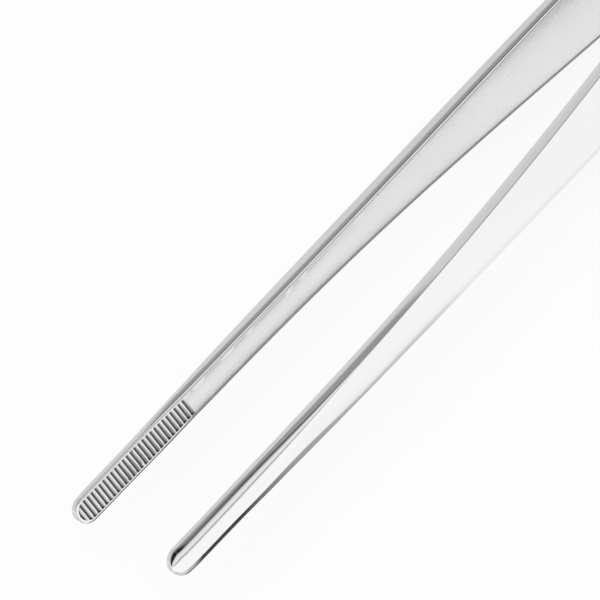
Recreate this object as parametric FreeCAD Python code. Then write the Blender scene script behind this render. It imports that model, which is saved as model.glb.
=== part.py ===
import FreeCAD, Part
import math
import os

from FreeCAD import Vector

# Thumb forceps: two spring arms, welded face to face at the tail, lying on their long edges.
# X runs from the jaw tips to the tail, Y across the opening and Z up through the width of the
# arms. Distances called s are measured along X from the jaw tips.

# Overall
total_length = 160.0
jaw_gap = 18.7
weld_length = 16.0

# Bow of each arm, seen from above
jaw_run = 15.0
reverse_radius = 90.0

# Width of an arm
jaw_width = 3.6
flare_start = 22.0
grip_start = 100.0
grip_end = 126.0
grip_width = 9.0
tail_width = 6.8
flare_lag = 1.3

# Thickness of an arm
jaw_thickness = 1.95
neck_thickness = 2.1
spring_thickness = 1.4
nose_end = 8.0
neck_start = 26.0
taper_start = 62.0
taper_end = 124.0

# The outer face of the jaw falls away to the tip on an arc
tip_fall = 0.55
fall_start = 3.3

# Rounding of the outer shoulders: nearly half-round at the jaw, a small radius further back
jaw_shoulder = 1.15
arm_shoulder = 0.28
shoulder_fade_end = 52.0
shoulder_fade_power = 1.6

# Break along the inner edges, and the finer one left beside the weld seam
edge_break = 0.15
seam_break = 0.05

# Serrations of the jaws
tooth_pitch = 0.64
tooth_count = 28
tooth_depth = 0.26
tooth_land = 0.08
first_tooth = 0.66
serration_rim = 0.43

# Cross grooves of the thumb grip
rib_pitch = 1.5
rib_count = 17
rib_depth = 0.22
rib_radius = 0.6
rib_margin = 0.9
rib_centre = 106.0

# Sections that each length of the arm is lofted through
jaw_section_count = 8
neck_section_count = 8
grip_section_count = 4
tail_section_count = 8

# Extra stock outside the finished faces, for clean cuts, and the most that a flat may be out
spare = 0.3
flat_tolerance = 0.0001

# The inner face leaves the jaw on a large arc, then bends back to lie flat against the other tail
weld_start = total_length - weld_length
bow_angle = 2.0 * math.atan(0.5 * jaw_gap / (weld_start - jaw_run))
bow_radius = (weld_start - jaw_run) / math.sin(bow_angle) - reverse_radius
bow_end = jaw_run + bow_radius * math.sin(bow_angle)
fall_radius = (fall_start ** 2 + tip_fall ** 2) / (2.0 * tip_fall)
nose_centre = 0.5 * jaw_width
tail_centre = total_length - 0.5 * tail_width


def ease(s, start, end):
    """0 before start, 1 after end, and a smooth rise between them."""
    t = min(max((s - start) / (end - start), 0.0), 1.0)
    return t * t * (3.0 - 2.0 * t)


def inner_face(s):
    """Distance of the inner face from the mid plane."""
    if s <= jaw_run:
        return 0.5 * jaw_gap
    if s <= bow_end:
        return 0.5 * jaw_gap - bow_radius + math.sqrt(bow_radius ** 2 - (s - jaw_run) ** 2)
    if s < weld_start:
        return reverse_radius - math.sqrt(reverse_radius ** 2 - (weld_start - s) ** 2)
    return 0.0


def half_width(s):
    t = min(max((s - flare_start) / (grip_start - flare_start), 0.0), 1.0)
    flare = (grip_width - jaw_width) * ease(t ** flare_lag, 0.0, 1.0)
    narrowing = (grip_width - tail_width) * ease(s, grip_end, tail_centre)
    return 0.5 * (jaw_width + flare - narrowing)


def thickness(s):
    growth = (neck_thickness - jaw_thickness) * ease(s, nose_end, neck_start)
    thinning = (neck_thickness - spring_thickness) * ease(s, taper_start, taper_end)
    return jaw_thickness + growth - thinning


def shoulder(s):
    t = min(max((shoulder_fade_end - s) / (shoulder_fade_end - nose_end), 0.0), 1.0)
    return arm_shoulder + (jaw_shoulder - arm_shoulder) * t ** shoulder_fade_power


def inner_break(s):
    return edge_break + (seam_break - edge_break) * ease(s, grip_end, weld_start)


def section_edges(s, side):
    """One half of the section at s, from the inner face round the shoulder to the outer face."""
    inner = inner_face(s)
    outer = inner + thickness(s)
    half = half_width(s)
    corner = inner_break(s)
    radius = shoulder(s)
    diagonal = radius * math.sqrt(0.5)
    foot = Vector(s, inner - spare, side * (half - corner - spare))
    edge = Vector(s, inner + corner, side * half)
    shoulder_foot = Vector(s, outer - radius, side * half)
    shoulder_mid = Vector(s, outer - radius + diagonal, side * (half - radius + diagonal))
    shoulder_top = Vector(s, outer, side * (half - radius))
    return [
        Part.makeLine(foot, edge),
        Part.makeLine(edge, shoulder_foot),
        Part.Arc(shoulder_foot, shoulder_mid, shoulder_top).toShape(),
    ]


def section(s):
    """Closed section of the arm at s, with spare stock beyond the inner face."""
    upper = section_edges(s, 1.0)
    lower = section_edges(s, -1.0)
    top = Part.makeLine(upper[-1].Vertexes[-1].Point, lower[-1].Vertexes[-1].Point)
    foot = Part.makeLine(lower[0].Vertexes[0].Point, upper[0].Vertexes[0].Point)
    return Part.Wire(upper + [top] + lower[::-1] + [foot])


def span(start, end, count):
    """Length of the arm between two stations, lofted through evenly spaced sections."""
    step = (end - start) / (count - 1)
    wires = [section(start + step * i) for i in range(count)]
    return Part.makeLoft(wires, True, False)


def flat_sided(solid):
    """The same length of arm with its two straight long edges as true planes."""
    faces = []
    for face in solid.Faces:
        heights = [corner.Z for corner in face.Vertexes]
        if max(heights) - min(heights) < flat_tolerance:
            edges = [e.Curve.toShape(e.FirstParameter, e.LastParameter) for e in face.OuterWire.Edges]
            face = Part.Face(Part.Wire(Part.sortEdges(edges)[0]))
        faces.append(face)
    shell = Part.Shell(faces)
    shell.sewShape()
    return Part.Solid(shell)


def round_tail():
    """Half-round tail end: half a section turned about the line across the arm."""
    edges = section_edges(tail_centre, 1.0)
    low = Vector(tail_centre, inner_face(tail_centre) - spare, 0.0)
    high = Vector(tail_centre, thickness(tail_centre), 0.0)
    edges.append(Part.makeLine(edges[-1].Vertexes[-1].Point, high))
    edges.append(Part.makeLine(high, low))
    edges.append(Part.makeLine(low, edges[0].Vertexes[0].Point))
    face = Part.Face(Part.Wire(edges))
    return face.revolve(low, Vector(0.0, 1.0, 0.0), 180.0)


def prism(edges, height):
    """Solid with a flat outline, standing along Z and centred on the mid width."""
    face = Part.Face(Part.Wire(edges))
    face.translate(Vector(0.0, 0.0, -0.5 * height))
    return face.extrude(Vector(0.0, 0.0, height))


def path_arc(path, start, end):
    """Arc along X from start to end, through three points of a height that path gives."""
    middle = 0.5 * (start + end)
    points = [Vector(s, path(s), 0.0) for s in (start, middle, end)]
    return Part.Arc(*points).toShape()


def outer_side():
    """Everything on the outer side of the inner face: two flats joined by the bow."""
    front = -grip_width
    back = total_length + grip_width
    jaw_front = Vector(front, 0.5 * jaw_gap, 0.0)
    jaw_back = Vector(jaw_run, 0.5 * jaw_gap, 0.0)
    weld_front = Vector(weld_start, 0.0, 0.0)
    weld_back = Vector(back, 0.0, 0.0)
    far_back = Vector(back, jaw_gap, 0.0)
    far_front = Vector(front, jaw_gap, 0.0)
    return prism([
        Part.makeLine(jaw_front, jaw_back),
        path_arc(inner_face, jaw_run, bow_end),
        path_arc(inner_face, bow_end, weld_start),
        Part.makeLine(weld_front, weld_back),
        Part.makeLine(weld_back, far_back),
        Part.makeLine(far_back, far_front),
        Part.makeLine(far_front, jaw_front),
    ], 2.0 * grip_width)


def jaw_plan(inset, end):
    """The jaw's outline as seen from the side, moved in by inset: a strip with a round nose."""
    radius = nose_centre - inset
    across = Vector(0.0, 1.0, 0.0)
    disc = Part.makeCylinder(radius, jaw_gap, Vector(nose_centre, 0.0, 0.0), across)
    strip = Part.makeBox(end - nose_centre, jaw_gap, 2.0 * radius, Vector(nose_centre, 0.0, -radius))
    return disc.fuse(strip).removeSplitter()


def falling_face(s):
    """Distance of the jaw's outer face from the mid plane, between the tip and fall_start."""
    level = 0.5 * jaw_gap + jaw_thickness - fall_radius
    return level + math.sqrt(fall_radius ** 2 - (fall_start - s) ** 2)


def nose():
    """Front of the jaw, its outer edge rounded by one fillet that runs on round the tip."""
    inner = 0.5 * jaw_gap
    outer = inner + jaw_thickness
    tip = Vector(0.0, falling_face(0.0), 0.0)
    crest = Vector(fall_start, outer, 0.0)
    back_outer = Vector(nose_end, outer, 0.0)
    back_inner = Vector(nose_end, inner, 0.0)
    tip_inner = Vector(0.0, inner, 0.0)
    slab = prism([
        path_arc(falling_face, 0.0, fall_start),
        Part.makeLine(crest, back_outer),
        Part.makeLine(back_outer, back_inner),
        Part.makeLine(back_inner, tip_inner),
        Part.makeLine(tip_inner, tip),
    ], jaw_width)
    block = slab.common(jaw_plan(0.0, nose_end)).removeSplitter().Solids[0]
    block = block.makeFillet(jaw_shoulder, outline_edges(block, tip.y, outer)).Solids[0]
    return block.makeChamfer(edge_break, outline_edges(block, inner, inner)).Solids[0]


def outline_edges(block, low, high):
    """Edges of the nose that follow its outline, between two distances from the mid plane."""
    found = []
    for edge in block.Edges:
        box = edge.BoundBox
        level = box.YMin > low - flat_tolerance and box.YMax < high + flat_tolerance
        across = box.XMax - box.XMin < flat_tolerance
        if level and not across:
            found.append(edge)
    return found


def groove(s):
    """One V groove across the inner face of the jaw, at s."""
    inner = 0.5 * jaw_gap
    half = 0.5 * (tooth_pitch - tooth_land)
    slope = half / tooth_depth
    mouth = half + slope * spare
    left = Vector(s - mouth, inner - spare, 0.0)
    right = Vector(s + mouth, inner - spare, 0.0)
    root = Vector(s, inner + tooth_depth, 0.0)
    return prism([
        Part.makeLine(left, right),
        Part.makeLine(right, root),
        Part.makeLine(root, left),
    ], jaw_width)


def serrations(shift):
    """The grooves of one jaw, inside the plain rim that they leave."""
    grooves = [groove(first_tooth + shift + tooth_pitch * i) for i in range(tooth_count)]
    return grooves[0].fuse(grooves[1:]).common(jaw_plan(serration_rim, flare_start))


def grip_grooves():
    """Shallow round-bottomed grooves across the outer face, short of its long edges."""
    length = grip_width - 2.0 * rib_margin
    cutters = []
    for i in range(rib_count):
        s = rib_centre + rib_pitch * (i - 0.5 * (rib_count - 1))
        outer = inner_face(s) + thickness(s)
        base = Vector(s, outer + rib_radius - rib_depth, -0.5 * length)
        cutters.append(Part.makeCylinder(rib_radius, length, base))
    return cutters


def arm(shift):
    """The arm on the +Y side, its serrations moved along by shift."""
    blank = round_tail().fuse([
        span(nose_end, shoulder_fade_end, jaw_section_count),
        span(shoulder_fade_end, grip_start, neck_section_count),
        flat_sided(span(grip_start, grip_end, grip_section_count)),
        span(grip_end, tail_centre, tail_section_count),
    ])
    finished = blank.common(outer_side()).fuse(nose())
    return finished.cut(serrations(shift)).cut(grip_grooves())


# The jaw ridges of one arm face the grooves of the other
far_arm = arm(0.0)
near_arm = arm(0.5 * tooth_pitch).mirror(Vector(0.0, 0.0, 0.0), Vector(0.0, 1.0, 0.0))

os.makedirs("parts", exist_ok=True)
place = Vector(-0.5 * total_length, 0.0, 0.5 * grip_width)
for name, shape in (("left_arm", far_arm), ("right_arm", near_arm)):
    piece = shape.translated(place)
    piece.exportStep("parts/" + name + ".step")
    print(name, piece.isValid(), len(piece.Solids), round(piece.Volume, 3))
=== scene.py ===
import math

import bmesh
import bpy
from mathutils import Matrix, Vector


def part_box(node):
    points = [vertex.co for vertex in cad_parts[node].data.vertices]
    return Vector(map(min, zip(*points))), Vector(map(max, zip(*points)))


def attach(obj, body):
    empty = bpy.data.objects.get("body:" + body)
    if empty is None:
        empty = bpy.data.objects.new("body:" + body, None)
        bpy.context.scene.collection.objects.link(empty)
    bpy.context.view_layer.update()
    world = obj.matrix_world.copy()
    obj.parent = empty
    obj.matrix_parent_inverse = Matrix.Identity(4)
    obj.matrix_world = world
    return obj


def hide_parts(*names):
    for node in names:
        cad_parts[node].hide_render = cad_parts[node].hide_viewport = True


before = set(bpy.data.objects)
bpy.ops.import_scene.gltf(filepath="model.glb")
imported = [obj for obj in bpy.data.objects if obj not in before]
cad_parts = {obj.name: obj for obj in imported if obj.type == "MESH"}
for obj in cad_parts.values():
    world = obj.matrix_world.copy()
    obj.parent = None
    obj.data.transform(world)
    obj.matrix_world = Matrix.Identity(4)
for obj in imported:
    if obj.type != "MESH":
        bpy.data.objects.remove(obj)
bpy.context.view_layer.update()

MM = 0.001

# The forceps as the solids have them. Distances called s run along the arm from the jaw tip, n from
# its inner face outward, and w up from the middle of its width.
low_corner, high_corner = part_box("left_arm")
total_length = high_corner[0] - low_corner[0]
grip_width = high_corner[2] - low_corner[2]
tip_x = low_corner[0]
mid_z = 0.5 * (low_corner[2] + high_corner[2])

jaw_gap = 18.7 * MM
weld_length = 16.0 * MM
jaw_run = 15.0 * MM
reverse_radius = 90.0 * MM

jaw_width = 3.6 * MM
flare_start = 22.0 * MM
grip_start = 100.0 * MM
grip_end = 126.0 * MM
tail_width = 6.8 * MM
flare_lag = 1.3

jaw_thickness = 1.95 * MM
neck_thickness = 2.1 * MM
spring_thickness = 1.4 * MM
nose_end = 8.0 * MM
neck_start = 26.0 * MM
taper_start = 62.0 * MM
taper_end = 124.0 * MM
tip_fall = 0.55 * MM
fall_start = 3.3 * MM

seam_break = 0.05 * MM

tooth_pitch = 0.64 * MM
tooth_count = 28
tooth_depth = 0.26 * MM
tooth_land = 0.08 * MM
first_tooth = 0.66 * MM
serration_rim = 0.43 * MM

rib_pitch = 1.5 * MM
rib_count = 17
rib_depth = 0.22 * MM
rib_radius = 0.6 * MM
rib_margin = 0.9 * MM
rib_centre = 106.0 * MM

# Polishing leaves the backs of the jaws rounder than a plain fillet, the long sides slightly
# crowned and the edges of the inner face soft
jaw_back_width = 1.75 * MM
jaw_back_depth = 1.02 * MM
arm_back = 0.08 * MM
back_fade_start = 10.0 * MM
back_fade_end = 37.0 * MM
crown_height = 0.95 * MM
crown_limit = 0.95
inner_tilt = math.radians(8.5)
inner_tilt_start = 10.0 * MM
inner_tilt_end = 19.0 * MM
outer_tilt = math.radians(10.0)
outer_tilt_fade_start = 32.0 * MM
outer_tilt_fade_end = 46.0 * MM
jaw_soft_width = 0.36 * MM
arm_soft_width = 0.50 * MM
jaw_soft_rise = 0.13 * MM
arm_soft_rise = 0.26 * MM

# The jaws are slimmer than the solids': set back on the inner face and narrower towards the tips
jaw_setback = 0.20 * MM
setback_fade_start = 8.0 * MM
setback_fade_end = 22.0 * MM
jaw_slimming = 0.07 * MM
slimming_fade_start = 6.0 * MM
slimming_fade_end = 16.0 * MM

# Painted shade in the steel's colour, from 0 for bright to 1 for the dark root of a groove; on the
# satin inner face it lies beside the edges just behind the jaws, with a slight even darkening
# farther on
upper_edge_shade = 0.56
lower_edge_shade = 0.42
even_darkening = 0.10
face_shade_fade_start = 38.0 * MM
face_shade_fade_end = 54.0 * MM

# Level of the steel's colour by that painted shade
painted_shade_levels = [(0.0, 1.0), (0.4, 0.86), (0.6, 0.48), (0.85, 0.18)]
worn_share = 0.97
haze_scale = 160.0
haze_detail = 3.0
grain_detail = 4.0
grain_along = (150.0, 9000.0, 9000.0)
grain_even = (3000.0, 3000.0, 3000.0)

# Steps of the skin. A groove runs out over groove_wall beside its field.
break_steps = 8
wall_steps = 10
shoulder_steps = 14
face_steps = 6
end_steps = 18
body_step = 0.8 * MM
least_step = 0.004 * MM
least_turn = math.radians(0.3)
groove_wall = 0.09 * MM
merge_distance = 0.0002 * MM
crease_angle = math.radians(32.0)

# The table
table_reach = 3.0
table_grey = 0.9
table_glow = 0.85

# Painted shadow of each arm on the table, as glowing grey strips under it that only the steel's
# reflections show: levels by millimetres from the jaw tips, and reach beside the arm as a share
# of the height of its lower edge
strip_height = 0.02 * MM
strip_step = 1.0 * MM
strip_lead = 6
inside_levels = [(0.0, 0.6), (1.5, 0.12), (15.0, 0.12), (18.0, 0.28)]
inside_jaw_share = 0.86
inside_arm_share = 1.43
inside_allowance = 0.3 * MM
inside_change_start = 16.5 * MM
inside_change_end = 20.0 * MM
outside_levels = [
    (0.0, 0.7), (2.2, 0.5), (4.2, 0.05), (10.8, 0.05), (14.0, 0.2), (18.4, 0.35), (27.0, 0.45),
    (41.0, 0.62), (48.0, 0.9),
]
outside_jaw_share = 0.53
outside_arm_share = 1.43
outside_allowance = 0.4 * MM
outside_change_start = 12.0 * MM
outside_change_end = 25.0 * MM

# Painted reflection: a glowing grey card on the table before the tips, seen only in the steel
tip_card_levels = [(0.0, 0.66), (1.0, 0.66)]
tip_card_length = 60.0 * MM
tip_card_clearance = 0.4 * MM
tip_card_front = -8.0 * MM
tip_card_rear = 60.0 * MM

# What the steel sees around it, by half turns from the far horizon over the top to the near one,
# and the dark card over the jaws, which fades out between two directions along the forceps
studio_levels = [
    (0.0, 0.68), (0.206, 0.68), (0.224, 0.30), (0.28, 0.30), (0.46, 0.36), (0.55, 0.20),
    (0.61, 0.14), (0.71, 0.15), (0.79, 0.74), (0.92, 0.90), (0.96, 0.42),
]
dark_card_extent = [(0.38, 0.0), (0.44, 1.0), (0.73, 1.0), (0.77, 0.0)]
dark_card_clear = 0.19
dark_card_full = 0.06
dark_card_level = 0.01

# The photograph's view
view_azimuth = math.radians(-16.28)
view_elevation = math.radians(33.51)
view_roll = math.radians(37.06)
view_distance = 700.0 * MM
view_target = Vector((-44.48, 8.06, 4.5)) * MM
focal_length = 373.5
sensor_width = 36.0

weld_start = total_length - weld_length
bow_angle = 2.0 * math.atan(0.5 * jaw_gap / (weld_start - jaw_run))
bow_radius = (weld_start - jaw_run) / math.sin(bow_angle) - reverse_radius
bow_end = jaw_run + bow_radius * math.sin(bow_angle)
fall_radius = (fall_start ** 2 + tip_fall ** 2) / (2.0 * tip_fall)
nose_radius = 0.5 * jaw_width
tail_radius = 0.5 * tail_width
tail_centre = total_length - tail_radius
tooth_half = 0.5 * (tooth_pitch - tooth_land)
rib_half = math.sqrt(rib_radius ** 2 - (rib_radius - rib_depth) ** 2)
rib_places = [rib_centre + rib_pitch * (i - 0.5 * (rib_count - 1)) for i in range(rib_count)]


def clamp(value, low, high):
    return min(max(value, low), high)


def ease(s, start, end):
    t = clamp((s - start) / (end - start), 0.0, 1.0)
    return t * t * (3.0 - 2.0 * t)


def setback(s):
    return jaw_setback * (1.0 - ease(s, setback_fade_start, setback_fade_end))


def inner_face(s):
    """Distance of the inner face from the mid plane of the forceps."""
    return bow(s) + setback(s)


def bow(s):
    """The same for the solids: straight jaws, an arc, and a reverse arc into the weld."""
    if s <= jaw_run:
        return 0.5 * jaw_gap
    if s <= bow_end:
        return 0.5 * jaw_gap - bow_radius + math.sqrt(bow_radius ** 2 - (s - jaw_run) ** 2)
    if s < weld_start:
        return reverse_radius - math.sqrt(reverse_radius ** 2 - (weld_start - s) ** 2)
    return 0.0


def half_width(s):
    t = clamp((s - flare_start) / (grip_start - flare_start), 0.0, 1.0)
    flare = (grip_width - jaw_width) * ease(t ** flare_lag, 0.0, 1.0)
    narrowing = (grip_width - tail_width) * ease(s, grip_end, tail_centre)
    slimming = jaw_slimming * (1.0 - ease(s, slimming_fade_start, slimming_fade_end))
    return 0.5 * (jaw_width + flare - narrowing) - slimming


def thickness(s):
    growth = (neck_thickness - jaw_thickness) * ease(s, nose_end, neck_start)
    thinning = (neck_thickness - spring_thickness) * ease(s, taper_start, taper_end)
    return jaw_thickness + growth - thinning - setback(s)


def back(s):
    """Width and depth of the rounding between the long edge and the outer face."""
    share = 1.0 - ease(s, back_fade_start, back_fade_end)
    width = arm_back + (jaw_back_width - arm_back) * share
    depth = arm_back + (jaw_back_depth - arm_back) * share
    return width, depth


def inner_edge(s):
    """Width and rise of the rounding beside the inner face, down to the fine break at the weld."""
    t = ease(s, inner_tilt_start, inner_tilt_end)
    width = jaw_soft_width + (arm_soft_width - jaw_soft_width) * t
    rise = jaw_soft_rise + (arm_soft_rise - jaw_soft_rise) * t
    t = ease(s, grip_end, weld_start)
    return width + (seam_break - width) * t, rise + (seam_break - rise) * t


class Rim:
    """One place on the outline of an arm seen from the side: its centre, direction and reach."""

    def __init__(self, centre, turn, reach):
        self.centre = centre
        self.out = Vector((math.sin(turn), 0.0, math.cos(turn)))
        self.reach = reach

    def at(self, inset, n):
        point = self.out * (self.reach - inset)
        return Vector((self.centre + point.x, n, point.z))


def rim_profile(rim):
    """Points (s, n, w) from the inner face over the long edge to the outer face.

    A soft edge leads to a crowned wall, which leans in at both ends, and an elliptical back. Near
    the tip the back leans with the outer face, which falls away there on an arc.
    """
    s = rim.centre
    width, rise = inner_edge(s)
    back_width, back_depth = back(s)
    slope_in = math.tan(inner_tilt * ease(s, inner_tilt_start, inner_tilt_end))
    slope_out = math.tan(outer_tilt * (1.0 - ease(s, outer_tilt_fade_start, outer_tilt_fade_end)))
    start = math.atan(slope_out * back_depth / back_width)
    wall_top = thickness(s) - back_depth * (1.0 - math.sin(start))
    crown = min(crown_height, crown_limit * wall_top)
    lead_in = 0.5 * slope_in * crown
    lead_out = 0.5 * slope_out * (wall_top - crown)
    ball = rim.at(lead_out + back_width * math.cos(start), 0.0)
    lean = 0.0
    if ball.x < fall_start:
        lean = math.asin((fall_start - ball.x) / (fall_radius - back_depth))
        ball.y = thickness(s) - fall_radius + (fall_radius - back_depth) * math.cos(lean)
    else:
        ball.y = thickness(s) - back_depth
    wall_top = ball.y + back_depth * math.sin(start)
    crown = min(crown_height, crown_limit * wall_top)

    def wall_inset(n):
        if n < crown:
            return lead_in * (1.0 - n / crown) ** 2
        return lead_out * ((n - crown) / (wall_top - crown)) ** 2

    points = []
    for i in range(break_steps + 1):
        angle = 0.5 * math.pi * i / break_steps
        n = rise * (1.0 - math.cos(angle))
        points.append(rim.at(wall_inset(n) + width * (1.0 - math.sin(angle)), n))
    for i in range(1, wall_steps):
        n = rise + (wall_top - rise) * i / wall_steps
        points.append(rim.at(wall_inset(n), n))
    up = Vector((-math.sin(lean), math.cos(lean), 0.0))
    for i in range(shoulder_steps + 1):
        angle = start + (0.5 * math.pi - start) * i / shoulder_steps
        reach = back_width * math.cos(angle) * rim.out
        points.append(ball + reach + back_depth * math.sin(angle) * up)
    return points


def tooth_cut(s, roots):
    """Depth of the V grooves of the jaw at s."""
    nearest = min(abs(s - root) for root in roots)
    return tooth_depth * max(1.0 - nearest / tooth_half, 0.0)


def rib_cut(s):
    """Depth of the round grooves of the grip at s."""
    nearest = min(abs(s - place) for place in rib_places)
    if nearest >= rib_half:
        return 0.0
    return math.sqrt(rib_radius ** 2 - nearest ** 2) - (rib_radius - rib_depth)


def stations(roots):
    """Pairs of the outline's centre and turn: round the nose, along the body, round the tail."""
    places = []
    for root in roots:
        places += [root + tooth_half * i / 2.0 for i in range(-2, 3)]
    for place in rib_places:
        places += [place + rib_half * i / 4.0 for i in range(-4, 5)]
    body = [s for s in places if s > nose_radius]
    count = round((tail_centre - nose_radius) / body_step)
    body += [nose_radius + (tail_centre - nose_radius) * i / count for i in range(count + 1)]
    turns = [0.5 * math.pi * i / end_steps for i in range(end_steps)]
    reach = half_width(nose_radius) - jaw_soft_width
    for s in places:
        if nose_radius - reach < s < nose_radius:
            turns.append(math.acos((nose_radius - s) / reach))
    rows = [(nose_radius, turn - 0.5 * math.pi) for turn in spaced(turns, least_turn)]
    rows += [(s, 0.0) for s in spaced(body, least_step)]
    rows += [(tail_centre, 0.5 * math.pi * i / end_steps) for i in range(1, end_steps + 1)]
    return rows


def spaced(values, least):
    """The values in order, without those that all but repeat the one before."""
    kept = []
    for value in sorted(values):
        if not kept or value - kept[-1] > least:
            kept.append(value)
    return kept


def across(half, field):
    """Heights from one edge of a flat to the other, with a step at each side of the cut field."""
    field = min(field, half)
    step = min(field + groove_wall, half)
    inside = [field * (1.0 - 2.0 * i / face_steps) for i in range(face_steps + 1)]
    return [(step, False)] + [(w, True) for w in inside] + [(-step, False)]


def field_half(s):
    """Half width of the serrated field at s, which follows the outline of the nose."""
    if s >= nose_radius:
        return half_width(s) - serration_rim
    radius = half_width(nose_radius) - serration_rim
    return math.sqrt(max(radius ** 2 - (nose_radius - s) ** 2, 0.0))


def face_shade(s, place):
    """Painted shade on the satin inner face: beside its edges just behind the jaws, and a slight
    even darkening farther on.

    place runs from -1 at the lower edge of the face to 1 at the upper one.
    """
    behind = ease(s, face_shade_fade_start, face_shade_fade_end)
    edge = upper_edge_shade if place > 0.0 else lower_edge_shade
    return edge * place ** 2 * (1.0 - behind) + even_darkening * behind


def section(centre, turn, roots):
    """One closed row round the arm, of points (s, n, w), each with its finish and its painted
    shade.
    """
    upper = rim_profile(Rim(centre, turn, half_width(centre)))
    row = [(p, "edge", 0.0) for p in upper]
    top = upper[-1]
    foot = upper[0]
    # Painted shade: the round grooves of the grip darken towards their bottom
    rib = rib_cut(top.x)
    for w, cut in across(top.z, 0.5 * grip_width - rib_margin):
        depth = rib if cut else 0.0
        row.append((Vector((top.x, top.y - depth, w)), "outer", depth / rib_depth))
    row += [(Vector((p.x, p.y, -p.z)), "edge", 0.0) for p in reversed(upper)]
    tooth = tooth_cut(foot.x, roots)
    serrated = foot.x < roots[-1] + 0.9 * tooth_half
    finish = "jaw" if serrated else "inner"
    field = field_half(foot.x)
    for w, cut in reversed(across(foot.z, field)):
        depth = tooth if cut and field > 0.0 else 0.0
        # Painted shade: darker towards the roots of the V grooves, and beside the edges of the
        # inner face
        painted_shade = depth / tooth_depth if serrated else face_shade(foot.x, w / foot.z)
        row.append((Vector((foot.x, depth, w)), finish, painted_shade))
    return row


def arm(name, side, shift, finishes):
    """The arm on the +Y side, or for side -1 its mirror image, skinned through closed rows.

    shift moves its serrations along the jaw. finishes gives the material of each finish by name.
    """
    roots = [first_tooth + shift + tooth_pitch * i for i in range(tooth_count)]
    rows = [section(centre, turn, roots) for centre, turn in stations(roots)]
    mesh = bpy.data.meshes.new(name)
    model = bmesh.new()
    painted_shade_layer = model.verts.layers.float.new("painted_shade")
    grid = []
    for row in rows:
        line = []
        for point, finish, painted_shade in row:
            y = side * (inner_face(point.x) + point.y)
            vertex = model.verts.new((tip_x + point.x, y, mid_z + point.z))
            vertex[painted_shade_layer] = painted_shade
            line.append(vertex)
        grid.append(line)
    names = list(finishes)
    count = len(rows[0])
    for k in range(len(rows) - 1):
        for j in range(count):
            i = (j + 1) % count
            corners = [grid[k][j], grid[k][i], grid[k + 1][i], grid[k + 1][j]]
            face = model.faces.new(corners if side > 0 else corners[::-1])
            own, beside = rows[k][j][1], rows[k][i][1]
            face.material_index = names.index(beside if own == "edge" else own)
            face.smooth = True
    bmesh.ops.remove_doubles(model, verts=model.verts, dist=merge_distance)
    model.normal_update()
    model.to_mesh(mesh)
    model.free()
    mesh.set_sharp_from_angle(angle=crease_angle)
    for material in finishes.values():
        mesh.materials.append(material)
    piece = bpy.data.objects.new(name, mesh)
    bpy.context.scene.collection.objects.link(piece)
    return piece


def node(tree, kind, **properties):
    made = tree.nodes.new(kind)
    for key, value in properties.items():
        setattr(made, key, value)
    return made


def ramp(tree, source, stops):
    """A colour ramp of greys through pairs of place and level."""
    made = tree.nodes.new("ShaderNodeValToRGB")
    elements = made.color_ramp.elements
    while len(elements) < len(stops):
        elements.new(1.0)
    for element, (place, level) in zip(elements, stops):
        element.position = place
        element.color = (level, level, level, 1.0)
    tree.links.new(source, made.inputs["Fac"])
    return made.outputs["Color"]


def steel(name, roughness, spread, grain, grain_depth, tone):
    """Stainless steel with fine grain, hazy patches, and painted shade from the mesh that darkens
    the roots of its grooves and the edges of its inner face.

    roughness varies by spread either way; grain is the frequency of the grain along each axis.
    """
    material = bpy.data.materials.new(name)
    material.use_nodes = True
    tree = material.node_tree
    shader = tree.nodes["Principled BSDF"]
    shader.inputs["Metallic"].default_value = 1.0
    place = node(tree, "ShaderNodeTexCoord")
    stretch = node(tree, "ShaderNodeMapping")
    stretch.inputs["Scale"].default_value = grain
    tree.links.new(place.outputs["Object"], stretch.inputs["Vector"])
    lines = node(tree, "ShaderNodeTexNoise")
    lines.inputs["Scale"].default_value = 1.0
    lines.inputs["Detail"].default_value = grain_detail
    tree.links.new(stretch.outputs["Vector"], lines.inputs["Vector"])
    haze = node(tree, "ShaderNodeTexNoise")
    haze.inputs["Scale"].default_value = haze_scale
    haze.inputs["Detail"].default_value = haze_detail
    tree.links.new(place.outputs["Object"], haze.inputs["Vector"])
    total = node(tree, "ShaderNodeMath", operation="ADD")
    tree.links.new(lines.outputs["Fac"], total.inputs[0])
    tree.links.new(haze.outputs["Fac"], total.inputs[1])
    mean = node(tree, "ShaderNodeMath", operation="MULTIPLY")
    mean.inputs[1].default_value = 0.5
    tree.links.new(total.outputs["Value"], mean.inputs[0])
    patches = mean.outputs["Value"]
    gloss = ramp(tree, patches, [(0.35, roughness - spread), (0.65, roughness + spread)])
    tree.links.new(gloss, shader.inputs["Roughness"])
    # The painted shade from the mesh darkens the base colour in groove roots and beside the inner
    # face's edges
    painted_shade = node(tree, "ShaderNodeAttribute", attribute_name="painted_shade")
    level = ramp(tree, patches, [(0.3, tone * worn_share), (0.7, tone)])
    dark = ramp(tree, painted_shade.outputs["Fac"], painted_shade_levels)
    tint = node(tree, "ShaderNodeMix", data_type="RGBA", blend_type="MULTIPLY")
    tint.inputs["Factor"].default_value = 1.0
    tree.links.new(level, tint.inputs["A"])
    tree.links.new(dark, tint.inputs["B"])
    tree.links.new(tint.outputs["Result"], shader.inputs["Base Color"])
    bump = node(tree, "ShaderNodeBump")
    bump.inputs["Strength"].default_value = 1.0
    bump.inputs["Distance"].default_value = grain_depth
    tree.links.new(lines.outputs["Fac"], bump.inputs["Height"])
    tree.links.new(bump.outputs["Normal"], shader.inputs["Normal"])
    return material


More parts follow.
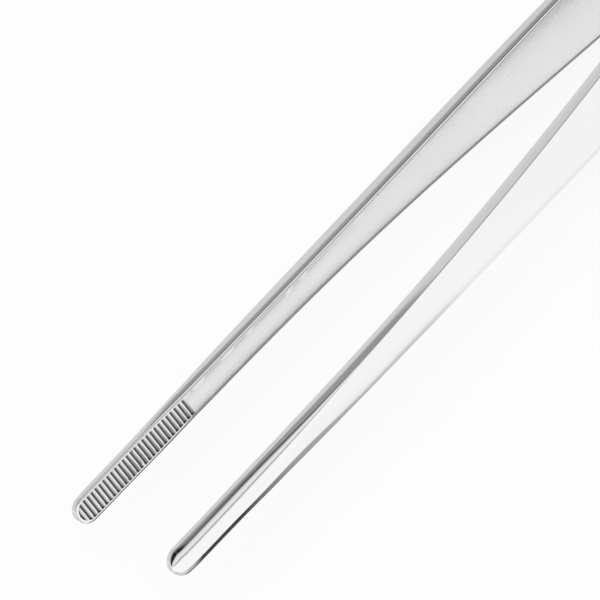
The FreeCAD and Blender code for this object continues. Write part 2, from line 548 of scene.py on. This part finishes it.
finishes = {
    "edge": steel("edge_steel", 0.13, 0.03, grain_along, 0.0006 * MM, 0.95),
    "outer": steel("outer_steel", 0.16, 0.04, grain_along, 0.0008 * MM, 0.93),
    "inner": steel("inner_steel", 0.26, 0.05, grain_along, 0.0010 * MM, 0.84),
    "jaw": steel("jaw_steel", 0.22, 0.05, grain_even, 0.0010 * MM, 0.95),
}

for name, side, shift in (("left_arm", 1.0, 0.0), ("right_arm", -1.0, 0.5 * tooth_pitch)):
    piece = arm(name + "_steel", side, shift, finishes)
    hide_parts(name)
    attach(piece, "root")


def rectangle(left, right, front, rear, height):
    corners = [(left, front), (right, front), (right, rear), (left, rear)]
    return [(x, y, height) for x, y in corners]


def floor():
    """White table top. Seen directly it is paper white, with a trace of the shadow on it."""
    mesh = bpy.data.meshes.new("floor")
    corners = rectangle(-table_reach, table_reach, -table_reach, table_reach, 0.0)
    mesh.from_pydata(corners, [], [(0, 1, 2, 3)])
    table = bpy.data.objects.new("floor", mesh)
    bpy.context.scene.collection.objects.link(table)
    material = bpy.data.materials.new("table_white")
    material.use_nodes = True
    tree = material.node_tree
    tree.nodes.remove(tree.nodes["Principled BSDF"])
    paper = node(tree, "ShaderNodeBsdfDiffuse")
    paper.inputs["Color"].default_value = (table_grey, table_grey, table_grey, 1.0)
    glow = node(tree, "ShaderNodeEmission")
    path = node(tree, "ShaderNodeLightPath")
    seen = node(tree, "ShaderNodeMath", operation="MAXIMUM")
    tree.links.new(path.outputs["Is Glossy Ray"], seen.inputs[0])
    tree.links.new(path.outputs["Is Transmission Ray"], seen.inputs[1])
    share = node(tree, "ShaderNodeMath", operation="MULTIPLY_ADD", use_clamp=True)
    share.inputs[1].default_value = table_glow
    tree.links.new(path.outputs["Is Camera Ray"], share.inputs[0])
    tree.links.new(seen.outputs["Value"], share.inputs[2])
    mix = node(tree, "ShaderNodeMixShader")
    tree.links.new(share.outputs["Value"], mix.inputs["Fac"])
    tree.links.new(paper.outputs["BSDF"], mix.inputs[1])
    tree.links.new(glow.outputs["Emission"], mix.inputs[2])
    tree.links.new(mix.outputs["Shader"], tree.nodes["Material Output"].inputs["Surface"])
    mesh.materials.append(material)


def painted_reflection_grey(name, stops):
    """A glowing grey for painted reflections, through pairs of millimetres from the jaw tips and
    level.
    """
    material = bpy.data.materials.new(name)
    material.use_nodes = True
    tree = material.node_tree
    tree.nodes.remove(tree.nodes["Principled BSDF"])
    place = node(tree, "ShaderNodeTexCoord")
    parts = node(tree, "ShaderNodeSeparateXYZ")
    tree.links.new(place.outputs["Object"], parts.inputs["Vector"])
    along = node(tree, "ShaderNodeMapRange")
    along.inputs["From Min"].default_value = tip_x
    along.inputs["From Max"].default_value = tip_x + total_length
    tree.links.new(parts.outputs["X"], along.inputs["Value"])
    shares = [(s * MM / total_length, grey) for s, grey in stops]
    level = ramp(tree, along.outputs["Result"], shares)
    glow = node(tree, "ShaderNodeEmission")
    tree.links.new(level, glow.inputs["Color"])
    tree.links.new(glow.outputs["Emission"], tree.nodes["Material Output"].inputs["Surface"])
    return material


def reflected_sheet(name, vertices, faces, materials):
    """A sheet on the table that only the steel's reflections show; its faces take turns."""
    mesh = bpy.data.meshes.new(name)
    mesh.from_pydata(vertices, [], faces)
    for material in materials:
        mesh.materials.append(material)
    for i, face in enumerate(mesh.polygons):
        face.material_index = i % len(materials)
    sheet = bpy.data.objects.new(name, mesh)
    bpy.context.scene.collection.objects.link(sheet)
    sheet.visible_camera = False
    sheet.visible_diffuse = False
    sheet.visible_shadow = False


def strip_edges(s):
    """Distances from the mid plane of a strip's inner edge, its middle and its outer edge."""
    rise = mid_z - half_width(s)
    change = ease(s, inside_change_start, inside_change_end)
    room = inside_jaw_share * rise * (1.0 - change)
    room += inside_arm_share * (rise + inside_allowance) * change
    inner = max(inner_face(s) - room, 0.0)
    middle = inner_face(s) + 0.5 * thickness(s)
    change = ease(s, outside_change_start, outside_change_end)
    room = outside_jaw_share * rise * (1.0 - change)
    room += outside_arm_share * (rise + outside_allowance) * change
    return inner, middle, inner_face(s) + thickness(s) + room


def painted_shadow_strips():
    """Painted shadow: glowing grey strips under the arms that stand for their shadow on the table,
    which their lower edges reflect.
    """
    inside = painted_reflection_grey("strip_inside", inside_levels)
    outside = painted_reflection_grey("strip_outside", outside_levels)
    places = [i * strip_step for i in range(-strip_lead, round(total_length / strip_step) + 1)]
    for side in (1.0, -1.0):
        vertices = []
        for s in places:
            vertices += [(tip_x + s, side * y, strip_height) for y in strip_edges(s)]
        faces = []
        for k in range(0, 3 * (len(places) - 1), 3):
            faces += [(k, k + 1, k + 4, k + 3), (k + 1, k + 2, k + 5, k + 4)]
        reflected_sheet("painted_shadow_strip", vertices, faces, [inside, outside])


def tip_reflection_card():
    """Painted reflection: a glowing grey card on the table before the tips, hidden from the camera,
    which the ends of the jaws reflect.
    """
    near = tip_x - tip_card_clearance
    far = tip_x - tip_card_length
    corners = rectangle(far, near, tip_card_front, tip_card_rear, 0.5 * strip_height)
    grey = painted_reflection_grey("tip_reflection_grey", tip_card_levels)
    reflected_sheet("tip_reflection_card", corners, [(0, 1, 2, 3)], [grey])


def studio():
    """White surround. The steel sees bright and dark bands instead, and a dark card."""
    world = bpy.data.worlds.new("studio")
    bpy.context.scene.world = world
    world.use_nodes = True
    tree = world.node_tree
    backdrop = tree.nodes["Background"]
    place = node(tree, "ShaderNodeTexCoord")
    parts = node(tree, "ShaderNodeSeparateXYZ")
    tree.links.new(place.outputs["Generated"], parts.inputs["Vector"])
    angle = node(tree, "ShaderNodeMath", operation="ARCTAN2")
    tree.links.new(parts.outputs["Z"], angle.inputs[0])
    tree.links.new(parts.outputs["Y"], angle.inputs[1])
    turn = node(tree, "ShaderNodeMath", operation="DIVIDE")
    turn.inputs[1].default_value = math.pi
    tree.links.new(angle.outputs["Value"], turn.inputs[0])
    bands = ramp(tree, turn.outputs["Value"], studio_levels)
    over_jaws = ramp(tree, turn.outputs["Value"], dark_card_extent)
    along = node(tree, "ShaderNodeMapRange")
    along.inputs["From Min"].default_value = dark_card_clear
    along.inputs["From Max"].default_value = dark_card_full
    tree.links.new(parts.outputs["X"], along.inputs["Value"])
    shade = node(tree, "ShaderNodeMath", operation="MULTIPLY")
    tree.links.new(over_jaws, shade.inputs[0])
    tree.links.new(along.outputs["Result"], shade.inputs[1])
    flagged = node(tree, "ShaderNodeMix", data_type="RGBA")
    flagged.inputs["B"].default_value = (dark_card_level, dark_card_level, dark_card_level, 1.0)
    tree.links.new(shade.outputs["Value"], flagged.inputs["Factor"])
    tree.links.new(bands, flagged.inputs["A"])
    path = node(tree, "ShaderNodeLightPath")
    pick = node(tree, "ShaderNodeMix", data_type="RGBA")
    pick.inputs["A"].default_value = (1.0, 1.0, 1.0, 1.0)
    tree.links.new(flagged.outputs["Result"], pick.inputs["B"])
    tree.links.new(path.outputs["Is Glossy Ray"], pick.inputs["Factor"])
    tree.links.new(pick.outputs["Result"], backdrop.inputs["Color"])
    backdrop.inputs["Strength"].default_value = 1.0


def camera():
    """The photograph's view: from the front and above, rolled so that the jaws point down left."""
    side = Vector((math.cos(view_azimuth), math.sin(view_azimuth), 0.0))
    front = Vector((math.sin(view_azimuth), -math.cos(view_azimuth), 0.0))
    back = front * math.cos(view_elevation)
    back.z = math.sin(view_elevation)
    up = back.cross(side)
    right = side * math.cos(view_roll) - up * math.sin(view_roll)
    top = side * math.sin(view_roll) + up * math.cos(view_roll)
    lens = bpy.data.cameras.new("camera")
    lens.sensor_width = sensor_width
    lens.lens = focal_length
    lens.clip_start = 0.01
    lens.clip_end = 20.0
    view = bpy.data.objects.new("camera", lens)
    turn = Matrix((right, top, back)).transposed().to_4x4()
    view.matrix_world = Matrix.Translation(view_target + back * view_distance) @ turn
    bpy.context.scene.collection.objects.link(view)
    bpy.context.scene.camera = view


floor()
painted_shadow_strips()
tip_reflection_card()
studio()
camera()
bpy.context.scene.view_settings.view_transform = "Standard"
